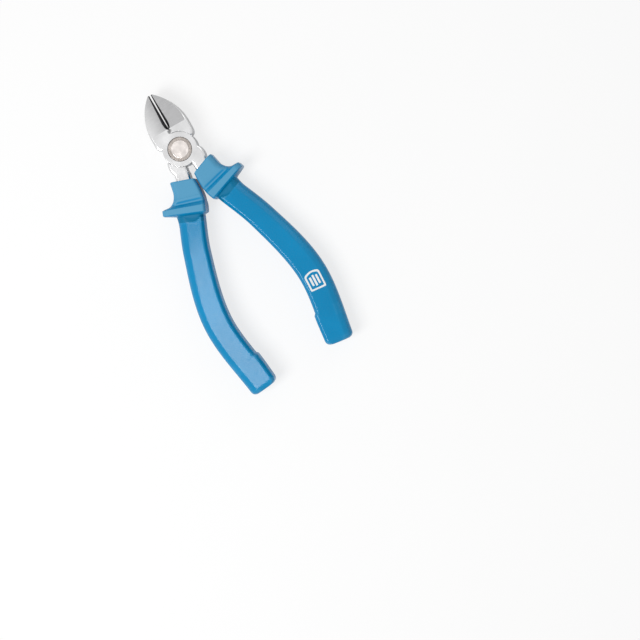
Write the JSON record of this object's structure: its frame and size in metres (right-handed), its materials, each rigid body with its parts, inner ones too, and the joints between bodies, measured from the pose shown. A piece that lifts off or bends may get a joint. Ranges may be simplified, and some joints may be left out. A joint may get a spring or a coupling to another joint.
{
  "type": "side cutters",
  "caption": "Side cutters with a lap-jointed, plated steel head, ground cutting jaws and moulded blue sleeve grips with thumb guards.",
  "frame": {"origin": "middle of the tool on the plane it lies on", "axes": "+Y from the handles to the jaws, +Z out of the front face, +X to the right seen from the front"},
  "size_m": [0.0552, 0.1252, 0.0136],
  "materials": {
    "plated_steel": "satin plated",
    "rivet_steel": "satin",
    "blue_vinyl": "moulded semi-gloss"
  },
  "bodies": {
    "front_side": {"front_half": "plated_steel", "pivot_rivet": "rivet_steel", "right_grip": "blue_vinyl"},
    "back_side": {"back_half": "plated_steel", "left_grip": "blue_vinyl"}
  },
  "joints": [
    {"name": "pivot", "type": "hinge", "parent": "front_side", "child": "back_side", "pos_m": [0.00002, 0.03802, 0.0068], "axis": [0, 0, -1], "range_deg": [-1.4, 37]}
  ]
}
